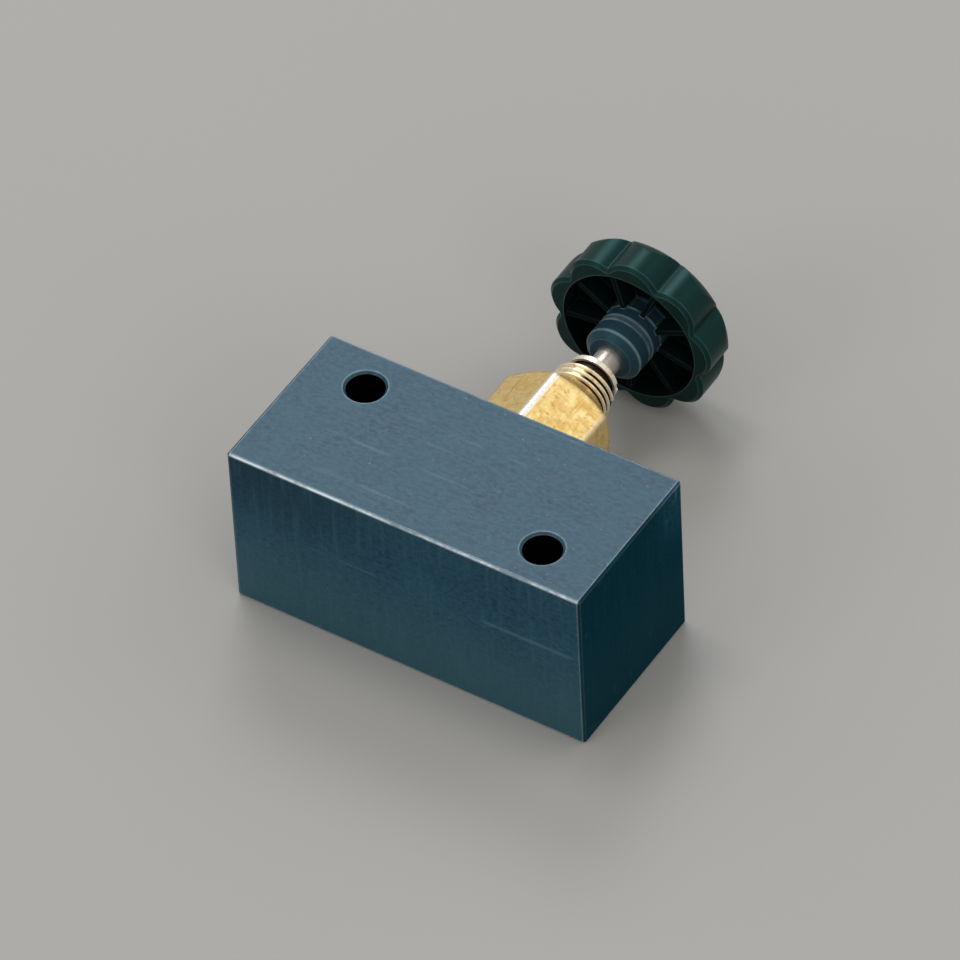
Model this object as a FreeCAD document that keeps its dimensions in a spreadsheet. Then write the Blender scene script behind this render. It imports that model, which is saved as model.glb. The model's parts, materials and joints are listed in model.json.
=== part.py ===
import FreeCAD, Part
import math
import os
import re
import Sketcher
from FreeCAD import Placement, Rotation, Vector

# Hydraulic bypass valve: a drilled steel block, a brass hexagon bonnet and a lobed handwheel that
# lifts a needle off its seat. Millimetres. The origin is the centre of the block's bottom face:
# +X along the block, +Y from its blank front face to the handwheel, +Z up.

# Driving sizes. Lengths along the valve's axis start at the block's back face, outwards positive,
# unless the name says otherwise.
SIZES = {
    # The block
    "block_length": 85.0,
    "block_depth": 40.0,
    "block_height": 42.0,
    "block_edge": 0.5,
    "axis_height": 21.0,
    "mount_hole": 8.4,
    "mount_spacing_x": 56.0,
    "mount_spacing_y": 21.0,
    "mount_edge": 0.6,
    # The two ports in the bottom face and the passages from them to the chambers
    "port_drill": 11.8,
    "port_depth": 11.0,
    "port_mouth": 13.4,
    "port_offset": 10.0,
    "port_low_setback": 30.5,
    "port_high_setback": 15.5,
    "drill_point_angle": 59.0,
    "passage_bore": 4.0,
    "passage_lean": 3.5,
    "passage_reach": 1.0,
    # The valve bore in the block
    "bonnet_thread": 20.0,
    "seal_recess_bore": 22.0,
    "seal_recess_depth": 1.9,
    "high_chamber_bore": 12.0,
    "seat_setback": 20.0,
    "seat_cavity_bore": 10.0,
    "low_chamber_bore": 7.0,
    "low_chamber_length": 7.5,
    # The seat and its seal
    "seat_length": 6.0,
    "seat_bore": 4.0,
    "seat_recess_bore": 6.6,
    "seat_recess_depth": 1.6,
    "seat_slot_width": 1.6,
    "seat_slot_depth": 1.1,
    "seat_seal_bore": 6.0,
    "seat_seal_height": 1.0,
    # The needle tip and its clip
    "tip_diameter": 6.0,
    "tip_point": 1.2,
    "tip_half_angle": 30.0,
    "tip_barrel": 3.0,
    "tip_shank": 4.0,
    "tip_shank_length": 6.0,
    "tip_neck": 3.0,
    "clip_wall": 0.8,
    "clip_place": 3.0,
    "clip_mouth": 1.6,
    # The spindle
    "spindle_thread": 10.0,
    "spindle_thread_length": 16.0,
    "nose_bore": 4.1,
    "clip_groove_bore": 5.2,
    "stem_diameter": 6.0,
    "stem_length": 36.0,
    "stem_tail": 10.3,
    "stem_flat_depth": 0.8,
    "opening": 5.0,
    "open_spare": 0.5,
    # The bonnet
    "hex_across": 24.0,
    "hex_length": 21.0,
    "hex_crown": 22.4,
    "bonnet_shank": 11.0,
    "relief_diameter": 18.1,
    "relief_length": 2.3,
    "shoulder_end": 25.4,
    "shoulder_diameter": 14.6,
    "neck_diameter": 13.2,
    "neck_end": 31.0,
    "neck_edge": 0.8,
    "thread_edge": 0.8,
    "web_thickness": 4.3,
    "seal_section": 1.8,
    # The packing and the gland
    "packing_bore": 10.0,
    "packing_washer_height": 1.0,
    "chevron_wall": 1.3,
    "chevron_rise": 0.9,
    "chevron_count": 3,
    "adaptor_height": 1.4,
    "follower_height": 5.9,
    "gland_gap": 1.7,
    "gland_head": 11.6,
    "gland_head_height": 1.6,
    "gland_slot": 1.8,
    # The handwheel, along its own axis from the hub's near face
    "hub_nose": 10.0,
    "hub_collar": 13.2,
    "hub_collar_start": 1.4,
    "hub_collar_end": 5.4,
    "hub_neck": 12.0,
    "hub_ridge": 13.2,
    "hub_ridge_start": 6.3,
    "hub_ridge_end": 9.8,
    "rim_start": 7.5,
    "recess_floor": 13.2,
    "wheel_face": 17.9,
    "wheel_diameter": 40.0,
    "recess_bore": 32.2,
    "recess_draft": 0.4,
    "lobe_count": 9,
    "lobe_radius": 6.7,
    "notch_radius": 0.7,
    "shoulder_round": 4.0,
    "rim_chamfer": 0.8,
    "rib_thickness": 1.2,
    "rib_start": 8.6,
    "wheel_clock": 13.8,
    # What holds the handwheel on the stem
    "insert_start": 1.5,
    "insert_end": 10.5,
    "insert_diameter": 8.8,
    "screw_thread": 3.0,
    "screw_length": 8.0,
    "screw_head": 5.5,
    "screw_head_height": 2.0,
    "screw_socket": 2.5,
    "screw_socket_depth": 1.2,
    "washer_diameter": 7.0,
    "washer_height": 0.6,
    "cap_bore": 10.0,
    "cap_bore_floor": 11.5,
    "cap_plug_start": 16.1,
    "cap_lip": 13.0,
    "cap_lip_height": 0.9,
    # Clearances
    "running_fit": 0.05,
    "close_fit": 0.02,
    "seat_gap": 0.02,
    "bottom_gap": 0.3,
    # The chamfer on small turned ends
    "small_edge": 0.5,
}

doc = FreeCAD.newDocument("bypass_valve")
sheet = doc.addObject("Spreadsheet::Sheet", "Sizes")
for row, (name, size) in enumerate(SIZES.items(), start=1):
    sheet.set("A%d" % row, name)
    sheet.set("B%d" % row, str(size))
    sheet.setAlias("B%d" % row, name)
doc.recompute()


def bound(formula):
    """The formula with every size's name pointed at its cell."""
    return re.sub(r"[a-z_]+", lambda word: ("Sizes." if word[0] in SIZES else "") + word[0], formula)


def value(formula):
    """What the formula comes to, as a number."""
    found = sheet.evalExpression(bound(formula))
    return float(getattr(found, "Value", found))


# Places along the valve's axis that several pieces share
LOW_END = "-(seat_setback + seat_length + seat_seal_height + 2 * close_fit)"
SHANK_FLOOR = "-(bonnet_shank + bottom_gap)"
TIP_POINT = ("(opening + seat_gap - seat_setback - seat_recess_depth"
             " - (seat_bore - tip_point) / 2 / tan(tip_half_angle))")
TIP_CONE = "(tip_diameter - tip_point) / 2 / tan(tip_half_angle)"
TIP_BACK = TIP_POINT + " + " + TIP_CONE + " + tip_barrel"
SPINDLE_NOSE = TIP_BACK + " + running_fit"
SPINDLE_SHOULDER = SPINDLE_NOSE + " + spindle_thread_length"
WEB_START = SPINDLE_SHOULDER + " + open_spare + close_fit"
PACKING_FLOOR = WEB_START + " + web_thickness"
PACKING_START = PACKING_FLOOR + " + packing_washer_height + 2 * close_fit"
CHEVRON_START = PACKING_START + " + adaptor_height + close_fit"
CHEVRON_PITCH = "(chevron_wall + close_fit)"
UPPER_ADAPTOR = CHEVRON_START + " + chevron_count * " + CHEVRON_PITCH
FOLLOWER_START = UPPER_ADAPTOR + " + chevron_rise + adaptor_height + close_fit"
GLAND_START = FOLLOWER_START + " + follower_height + close_fit"
GLAND_BODY = "(neck_end + gland_gap - (" + GLAND_START + "))"
HUB_FACE = SPINDLE_SHOULDER + " + stem_length"

# Along +Y, with the piece's own +Z as the axis
ALONG_AXIS = Rotation(Vector(1, 0, 0), -90)
subparts = []


def new_body(label, start="0", clocked=False):
    """A sub-part whose own +Z lies on the valve's axis, from the given place outwards."""
    body = doc.addObject("PartDesign::Body", label)
    body.Label = label
    turn = Rotation(Vector(0, 0, 1), value("wheel_clock")) if clocked else Rotation()
    body.Placement = Placement(Vector(0, 0, 0), ALONG_AXIS.multiply(turn))
    body.setExpression("Placement.Base.y", bound("block_depth / 2 + " + start))
    body.setExpression("Placement.Base.z", bound("axis_height"))
    subparts.append(body)
    return body


def new_sketch(body, name, plane="XZ_Plane", height=None):
    """A sketch on one of the body's own planes, raised along the plane's normal if asked."""
    sketch = body.newObject("Sketcher::SketchObject", body.Label + "_" + name)
    for feature in body.Origin.OriginFeatures:
        if feature.Role == plane:
            sketch.AttachmentSupport = [(feature, "")]
    sketch.MapMode = "FlatFace"
    if height is not None:
        sketch.setExpression("AttachmentOffset.Base.z", bound(height))
    return sketch


def hold(sketch, kind, where, formula):
    """One sketch dimension that follows the sheet."""
    index = sketch.addConstraint(Sketcher.Constraint(kind, *where, value(formula)))
    if re.search("[a-z]", formula):
        sketch.setExpression("Constraints[%d]" % index, bound(formula))


def outline(sketch, corners):
    """A closed outline of straight edges; each corner is a pair of formulas."""
    first = sketch.GeometryCount
    spots = [Vector(value(across), value(along), 0) for across, along in corners]
    for index, spot in enumerate(spots):
        sketch.addGeometry(Part.LineSegment(spot, spots[(index + 1) % len(spots)]), False)
    for index, (across, along) in enumerate(corners):
        following = (index + 1) % len(corners)
        sketch.addConstraint(Sketcher.Constraint("Coincident", first + index, 2, first + following, 1))
        hold(sketch, "DistanceX", (first + index, 1), across)
        hold(sketch, "DistanceY", (first + index, 1), along)


def circle(sketch, across, along, radius):
    """A circle whose centre and radius follow the sheet."""
    index = sketch.GeometryCount
    centre = Vector(value(across), value(along), 0)
    sketch.addGeometry(Part.Circle(centre, Vector(0, 0, 1), value(radius)), False)
    hold(sketch, "DistanceX", (index, 3), across)
    hold(sketch, "DistanceY", (index, 3), along)
    hold(sketch, "Radius", (index,), radius)


def feature(body, kind, name, sketch, **settings):
    """A sketch-based feature; a text setting other than its type is a formula bound to the sheet."""
    made = body.newObject("PartDesign::" + kind, body.Label + "_" + name)
    made.Profile = sketch
    for key, setting in settings.items():
        if isinstance(setting, str) and key != "Type":
            made.setExpression(key, bound(setting))
        else:
            setattr(made, key, setting)
    sketch.Visibility = False
    doc.recompute()
    return made


def turned(body, name, corners, cut=False):
    """A profile of (radius, place along the axis) turned round the body's own axis."""
    sketch = new_sketch(body, name + "_profile")
    outline(sketch, corners)
    kind = "Groove" if cut else "Revolution"
    return feature(body, kind, name, sketch, ReferenceAxis=(sketch, ["V_Axis"]), Angle=360.0)


def ring(label, bore, outside, height, start):
    """A plain turned ring as a sub-part: bore and outside are radii."""
    body = new_body(label, start)
    turned(body, "ring", [(bore, "0"), (outside, "0"), (outside, height), (bore, height)])
    return body


def dress(body, kind, name, base, wanted, formula):
    """A fillet or chamfer on the edges of the last feature that pass the test."""
    edges = ["Edge%d" % number for number, edge in enumerate(base.Shape.Edges, start=1) if wanted(edge)]
    made = body.newObject("PartDesign::" + kind, body.Label + "_" + name)
    made.Base = (base, edges)
    made.setExpression("Radius" if kind == "Fillet" else "Size", bound(formula))
    doc.recompute()
    return made


def bore(body, kind, name, place, lean=None, **sizes):
    """A drilled cylinder or cone, its foot at the place and leaning towards +X if asked."""
    tool = body.newObject("PartDesign::Subtractive" + kind, body.Label + "_" + name)
    tool.Placement = Placement(Vector(0, 0, 0), Rotation(Vector(0, 1, 0), 0))
    for axis, formula in zip("xyz", place):
        tool.setExpression("Placement.Base." + axis, bound(formula))
    if lean is not None:
        tool.Placement = Placement(Vector(0, 0, 0), Rotation(Vector(0, 1, 0), value(lean)))
        tool.setExpression("Placement.Rotation.Angle", bound(lean))
    for key, formula in sizes.items():
        tool.setExpression(key, bound(formula))
    doc.recompute()
    return tool


def circle_edge(radius, height=None):
    """A test for circular edges of one radius, at one height if given."""
    def test(edge):
        curve = edge.Curve
        if not isinstance(curve, Part.Circle) or abs(curve.Radius - value(radius)) > 1e-4:
            return False
        return height is None or abs(curve.Center.z - value(height)) < 1e-4
    return test


def valve_block():
    """The drilled block: chamfered all round, with the valve bore, two mounting holes and two ports."""
    body = doc.addObject("PartDesign::Body", "valve_block")
    body.Label = "valve_block"
    subparts.append(body)
    plan = new_sketch(body, "plan", "XY_Plane")
    outline(plan, [("-block_length / 2", "-block_depth / 2"), ("block_length / 2", "-block_depth / 2"),
                   ("block_length / 2", "block_depth / 2"), ("-block_length / 2", "block_depth / 2")])
    solid = feature(body, "Pad", "solid", plan, Length="block_height")
    dress(body, "Chamfer", "edges", solid, lambda edge: True, "block_edge")
    holes = new_sketch(body, "mounting_plan", "XY_Plane")
    circle(holes, "-mount_spacing_x / 2", "mount_spacing_y / 2", "mount_hole / 2")
    circle(holes, "mount_spacing_x / 2", "-mount_spacing_y / 2", "mount_hole / 2")
    drilled = feature(body, "Pocket", "mounting_holes", holes, Type="ThroughAll", Reversed=True)
    dress(body, "Chamfer", "mounting_mouths", drilled, circle_edge("mount_hole / 2"), "mount_edge")
    valve_bore(body)
    port(body, "low", "-1", "port_low_setback")
    port(body, "high", "1", "port_high_setback")


def valve_bore(body):
    """The stepped bore from the back face: seal recess, bonnet thread, chambers and seat cavity."""
    sketch = new_sketch(body, "valve_bore_profile", "YZ_Plane")
    steps = [("seal_recess_bore / 2", "0"), ("seal_recess_bore / 2", "-seal_recess_depth"),
             ("bonnet_thread / 2", "-seal_recess_depth"), ("bonnet_thread / 2", SHANK_FLOOR),
             ("high_chamber_bore / 2", SHANK_FLOOR), ("high_chamber_bore / 2", "-seat_setback"),
             ("seat_cavity_bore / 2", "-seat_setback"), ("seat_cavity_bore / 2", LOW_END),
             ("low_chamber_bore / 2", LOW_END), ("low_chamber_bore / 2", LOW_END + " - low_chamber_length"),
             ("0", LOW_END + " - low_chamber_length - low_chamber_bore / 2 / tan(drill_point_angle)"),
             ("0", "0")]
    outline(sketch, [("block_depth / 2 + " + along, "axis_height + " + radius) for radius, along in steps])
    height = value("axis_height")
    ends = [Vector(0, height, 0), Vector(value("block_depth / 2"), height, 0)]
    middle = sketch.addGeometry(Part.LineSegment(*ends), True)
    sketch.addConstraint(Sketcher.Constraint("Horizontal", middle))
    hold(sketch, "DistanceX", (middle, 1), "0")
    hold(sketch, "DistanceX", (middle, 2), "block_depth / 2")
    hold(sketch, "DistanceY", (middle, 1), "axis_height")
    feature(body, "Groove", "valve_bore", sketch, ReferenceAxis=(sketch, ["Axis0"]), Angle=360.0)


def port(body, name, side, setback):
    """A threaded port in the bottom face and the leaning passage from its floor to a chamber."""
    across = side + " * port_offset"
    along = "block_depth / 2 - " + setback
    bore(body, "Cylinder", name + "_port", (across, along, "0"), Radius="port_drill / 2", Height="port_depth")
    bore(body, "Cone", name + "_port_point", (across, along, "port_depth"), Radius1="port_drill / 2",
         Radius2="close_fit", Height="(port_drill / 2 - close_fit) / tan(drill_point_angle)")
    bore(body, "Cone", name + "_port_mouth", (across, along, "0"), Radius1="port_mouth / 2",
         Radius2="port_drill / 2", Height="(port_mouth - port_drill) / 2")
    run = "(port_offset + passage_lean - passage_reach)"
    rise = "(axis_height - passage_reach)"
    foot = side + " * (port_offset + passage_lean - %s / %s * port_depth)" % (run, rise)
    bore(body, "Cylinder", name + "_passage", (foot, along, "port_depth"),
         lean="-1 * " + side + " * atan(%s / %s)" % (run, rise), Radius="passage_bore / 2",
         Height="sqrt(pow(%s; 2) + pow(%s; 2)) * (1 - port_depth / %s)" % (run, rise, rise))


def seat_insert():
    """The screwed-in seat: a sharp-edged bore in a recess, with a screwdriver slot across its face."""
    body = new_body("seat_insert", "-1 * (seat_setback + seat_length)")
    turned(body, "seat", [
        ("seat_bore / 2", "0"), ("seat_cavity_bore / 2 - close_fit", "0"),
        ("seat_cavity_bore / 2 - close_fit", "seat_length"), ("seat_recess_bore / 2", "seat_length"),
        ("seat_recess_bore / 2", "seat_length - seat_recess_depth"),
        ("seat_bore / 2", "seat_length - seat_recess_depth")])
    slot = new_sketch(body, "slot_plan", "XY_Plane", "seat_length")
    half_length = "seat_cavity_bore"
    outline(slot, [("-" + half_length, "-seat_slot_width / 2"), (half_length, "-seat_slot_width / 2"),
                   (half_length, "seat_slot_width / 2"), ("-" + half_length, "seat_slot_width / 2")])
    feature(body, "Pocket", "slot", slot, Length="seat_slot_depth")


def bonnet_seal():
    """The rubber ring under the hexagon, squeezed flat against the walls of its recess."""
    body = new_body("bonnet_seal", "-1 * (seal_recess_depth / 2)")
    middle = "relief_diameter / 2 + close_fit + seal_section / 2"
    corner = "seal_section / 2 / cos(22.5)"
    angles = [22.5 + 45 * step for step in range(8)]
    turned(body, "ring", [("%s + %s * cos(%s)" % (middle, corner, angle), "%s * sin(%s)" % (corner, angle))
                          for angle in angles])


def bonnet():
    """The brass bonnet: hexagon, threaded shank into the block, domed shoulder and gland neck."""
    body = new_body("bonnet")
    plan = new_sketch(body, "hexagon_plan", "XY_Plane")
    corner = "hex_across / sqrt(3)"
    angles = [30 + 60 * step for step in range(6)]
    outline(plan, [("%s * cos(%d)" % (corner, angle), "%s * sin(%d)" % (corner, angle)) for angle in angles])
    feature(body, "Pad", "hexagon", plan, Length="hex_length")
    far = "hex_across"
    turned(body, "crown", [("hex_crown / 2", "hex_length"), (far, "hex_length"),
                           (far, "hex_length - (%s - hex_crown / 2) * tan(30)" % far)], cut=True)
    turned(body, "shank_and_neck", [
        ("0", "-bonnet_shank"), ("bonnet_thread / 2 - close_fit - thread_edge", "-bonnet_shank"),
        ("bonnet_thread / 2 - close_fit", "-bonnet_shank + thread_edge"),
        ("bonnet_thread / 2 - close_fit", "-relief_length"), ("relief_diameter / 2", "-relief_length"),
        ("relief_diameter / 2", "hex_length / 2"), ("hex_crown / 2 - neck_edge", "hex_length / 2"),
        ("hex_crown / 2 - neck_edge", "hex_length"),
        ("shoulder_diameter / 2", "shoulder_end"), ("neck_diameter / 2", "shoulder_end"),
        ("neck_diameter / 2", "neck_end - neck_edge"), ("neck_diameter / 2 - neck_edge", "neck_end"),
        ("0", "neck_end")])
    turned(body, "bore", [
        ("0", "-bonnet_shank - thread_edge"),
        ("spindle_thread / 2 + running_fit", "-bonnet_shank - thread_edge"),
        ("spindle_thread / 2 + running_fit", WEB_START), ("stem_diameter / 2 + running_fit", WEB_START),
        ("stem_diameter / 2 + running_fit", PACKING_FLOOR), ("packing_bore / 2", PACKING_FLOOR),
        ("packing_bore / 2", "neck_end + neck_edge"), ("0", "neck_end + neck_edge")], cut=True)


def packing():
    """The stem's packing: a steel washer, then chevron rings between two shaped adaptors."""
    inside = "stem_diameter / 2 + running_fit"
    middle = "(stem_diameter + packing_bore) / 4"
    outside = "packing_bore / 2 - close_fit"
    ring("packing_washer", inside, outside, "packing_washer_height", PACKING_FLOOR + " + close_fit")
    lower = new_body("packing_lower_adaptor", PACKING_START)
    turned(lower, "ring", [(inside, "0"), (outside, "0"), (outside, "adaptor_height"),
                           (middle, "adaptor_height + chevron_rise"), (inside, "adaptor_height")])
    for number in range(int(value("chevron_count"))):
        start = CHEVRON_START + " + %d * %s" % (number, CHEVRON_PITCH)
        chevron = new_body("packing_ring_%d" % (number + 1), start)
        turned(chevron, "ring", [(inside, "0"), (middle, "chevron_rise"), (outside, "0"),
                                 (outside, "chevron_wall"), (middle, "chevron_wall + chevron_rise"),
                                 (inside, "chevron_wall")])
    upper = new_body("packing_upper_adaptor", UPPER_ADAPTOR)
    top = "chevron_rise + adaptor_height"
    turned(upper, "ring", [(inside, "0"), (middle, "chevron_rise"), (outside, "0"), (outside, top),
                           (inside, top)])


def gland_follower():
    """The brass sleeve that the gland screw presses on the packing."""
    body = new_body("gland_follower", FOLLOWER_START)
    inside = "stem_diameter / 2 + running_fit"
    outside = "packing_bore / 2 - running_fit"
    turned(body, "sleeve", [
        (inside, "0"), (outside, "0"), (outside, "follower_height - small_edge"),
        (outside + " - small_edge", "follower_height"), (inside, "follower_height")])


def gland_screw():
    """The gland screw: threaded sleeve with a round head, cut with two spanner slots."""
    body = new_body("gland_screw", GLAND_START)
    inside = "stem_diameter / 2 + running_fit"
    thread = "packing_bore / 2 - close_fit"
    top = GLAND_BODY + " + gland_head_height"
    head = turned(body, "sleeve", [
        (inside, "0"), (thread, "0"), (thread, GLAND_BODY), ("gland_head / 2", GLAND_BODY),
        ("gland_head / 2", top), (inside, top)])
    dress(body, "Chamfer", "head_edge", head, circle_edge("gland_head / 2", top), "gland_head_height / 4")
    slot = new_sketch(body, "slot_plan", "XY_Plane", top)
    outline(slot, [("-gland_head", "-gland_slot / 2"), ("gland_head", "-gland_slot / 2"),
                   ("gland_head", "gland_slot / 2"), ("-gland_head", "gland_slot / 2")])
    feature(body, "Pocket", "slot", slot, Length="gland_head_height / 2")


def needle_tip():
    """The swivelling cone that closes on the seat, with a grooved shank that sits in the spindle."""
    body = new_body("needle_tip", TIP_POINT)
    back = TIP_CONE + " + tip_barrel"
    groove = back + " + clip_place"
    turned(body, "tip", [
        ("0", "0"), ("tip_point / 2", "0"), ("tip_diameter / 2", TIP_CONE), ("tip_diameter / 2", back),
        ("tip_shank / 2", back), ("tip_shank / 2", groove), ("tip_neck / 2", groove),
        ("tip_neck / 2", groove + " + clip_wall + 2 * close_fit"),
        ("tip_shank / 2", groove + " + clip_wall + 2 * close_fit"),
        ("tip_shank / 2", back + " + tip_shank_length"), ("0", back + " + tip_shank_length")])


def tip_clip():
    """The split ring that sits in the shank's groove and keeps the tip in the spindle's nose."""
    body = new_body("tip_clip", TIP_BACK + " + clip_place + close_fit")
    turned(body, "ring", [
        ("tip_neck / 2 + close_fit", "0"), ("clip_groove_bore / 2 - running_fit", "0"),
        ("clip_groove_bore / 2 - running_fit", "clip_wall"), ("tip_neck / 2 + close_fit", "clip_wall")])
    mouth = new_sketch(body, "mouth_plan", "XY_Plane", "clip_wall")
    outline(mouth, [("0", "-clip_mouth / 2"), ("clip_groove_bore", "-clip_mouth / 2"),
                    ("clip_groove_bore", "clip_mouth / 2"), ("0", "clip_mouth / 2")])
    feature(body, "Pocket", "mouth", mouth, Length="clip_wall")


def spindle():
    """The spindle: screw thread, stem through the packing, flatted tail in the handwheel's hub."""
    body = new_body("spindle", SPINDLE_NOSE, clocked=True)
    thread = "spindle_thread / 2"
    stem = "stem_diameter / 2"
    shoulder = "spindle_thread_length"
    end = "spindle_thread_length + stem_length + stem_tail"
    turned(body, "shaft", [
        ("0", "0"), (thread + " - thread_edge", "0"), (thread, "thread_edge"), (thread, shoulder),
        (stem, shoulder), (stem, end + " - small_edge"), (stem + " - small_edge", end), ("0", end)])
    groove = "clip_place - running_fit - running_fit"
    turned(body, "nose_bore", [
        ("0", "0"), ("nose_bore / 2", "0"), ("nose_bore / 2", groove), ("clip_groove_bore / 2", groove),
        ("clip_groove_bore / 2", "clip_place + clip_wall + running_fit"),
        ("nose_bore / 2", "clip_place + clip_wall + running_fit"),
        ("nose_bore / 2", "tip_shank_length + bottom_gap"), ("0", "tip_shank_length + 3 * bottom_gap")],
        cut=True)
    turned(body, "screw_hole", [
        ("0", end), ("screw_thread / 2", end), ("screw_thread / 2", end + " - screw_length"),
        ("0", end + " - screw_length - bottom_gap")], cut=True)
    flat = new_sketch(body, "flat_plan", "XY_Plane", end)
    edge = "stem_diameter / 2 - stem_flat_depth"
    outline(flat, [(edge, "-stem_diameter"), ("stem_diameter", "-stem_diameter"),
                   ("stem_diameter", "stem_diameter"), (edge, "stem_diameter")])
    feature(body, "Pocket", "flat", flat, Length="stem_tail - insert_start + bottom_gap")


def knob_insert():
    """The brass insert in the hub: its bore has the flat that turns the stem."""
    body = new_body("knob_insert", HUB_FACE + " + insert_start + close_fit", clocked=True)
    height = "insert_end - insert_start - 2 * close_fit"
    outside = "insert_diameter / 2 - close_fit"
    turned(body, "sleeve", [("0", "0"), (outside, "0"), (outside, height), ("0", height)])
    plan = new_sketch(body, "bore_plan", "XY_Plane")
    radius = "stem_diameter / 2 + close_fit"
    flat = "stem_diameter / 2 - stem_flat_depth + close_fit"
    half = "sqrt(pow(%s; 2) - pow(%s; 2))" % (radius, flat)
    spots = [Vector(value(flat), -value(half), 0), Vector(value(flat), value(half), 0)]
    far = Vector(-value(radius), 0, 0)
    plan.addGeometry(Part.LineSegment(spots[0], spots[1]), False)
    plan.addGeometry(Part.Arc(spots[1], far, spots[0]), False)
    plan.addConstraint(Sketcher.Constraint("Coincident", 0, 2, 1, 1))
    plan.addConstraint(Sketcher.Constraint("Coincident", 0, 1, 1, 2))
    plan.addConstraint(Sketcher.Constraint("Coincident", 1, 3, -1, 1))
    hold(plan, "DistanceX", (0, 1), flat)
    plan.addConstraint(Sketcher.Constraint("Vertical", 0))
    hold(plan, "Radius", (1,), radius)
    feature(body, "Pocket", "bore", plan, Type="ThroughAll", Reversed=True)


def knob():
    """The moulded handwheel: hub, hollow ribbed underside and nine lobes under a rounded shoulder."""
    body = new_body("knob", HUB_FACE, clocked=True)
    blank = turned(body, "blank", [
        ("stem_diameter / 2 + 2 * running_fit", "0"), ("hub_nose / 2", "0"),
        ("hub_collar / 2", "hub_collar_start"), ("hub_collar / 2", "hub_collar_end"),
        ("hub_neck / 2", "hub_collar_end"), ("hub_neck / 2", "hub_ridge_start"),
        ("hub_ridge / 2", "hub_ridge_start"), ("hub_ridge / 2", "hub_ridge_end"),
        ("hub_neck / 2", "hub_ridge_end"), ("hub_neck / 2", "recess_floor"),
        ("recess_bore / 2 - recess_draft", "recess_floor"), ("recess_bore / 2", "rim_start"),
        ("wheel_diameter / 2", "rim_start"), ("wheel_diameter / 2", "wheel_face"),
        ("cap_bore / 2", "wheel_face"), ("cap_bore / 2", "cap_bore_floor"),
        ("screw_thread / 2 + 4 * running_fit", "cap_bore_floor"),
        ("screw_thread / 2 + 4 * running_fit", "insert_end"), ("insert_diameter / 2", "insert_end"),
        ("insert_diameter / 2", "insert_start"),
        ("stem_diameter / 2 + 2 * running_fit", "insert_start")])
    shoulder = dress(body, "Fillet", "shoulder", blank,
                     circle_edge("wheel_diameter / 2", "wheel_face"), "shoulder_round")
    notch = new_sketch(body, "notch_plan", "XY_Plane", "wheel_face + close_fit")
    notch_outline(notch)
    cut = feature(body, "Pocket", "notch", notch, Type="ThroughAll")
    notches = pattern(body, "notches", cut)
    dress(body, "Chamfer", "rim_edges", notches, rim_edge, "rim_chamfer")
    rib = new_sketch(body, "rib_plan", "XY_Plane", "rib_start")
    outline(rib, [("hub_neck / 2 - close_fit", "-rib_thickness / 2"),
                  ("recess_bore / 2 + close_fit", "-rib_thickness / 2"),
                  ("recess_bore / 2 + close_fit", "rib_thickness / 2"),
                  ("hub_neck / 2 - close_fit", "rib_thickness / 2")])
    web = feature(body, "Pad", "rib", rib, Length="recess_floor - rib_start + close_fit")
    pattern(body, "ribs", web)


def rim_edge(edge):
    """An edge of the lobed outline on the rim's near face."""
    near = value("rim_start")
    inner = value("recess_bore / 2") + value("rim_chamfer")
    flat = all(abs(vertex.Point.z - near) < 1e-4 for vertex in edge.Vertexes)
    middle = edge.valueAt((edge.FirstParameter + edge.LastParameter) / 2)
    return flat and abs(middle.z - near) < 1e-4 and math.hypot(middle.x, middle.y) > inner


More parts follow.
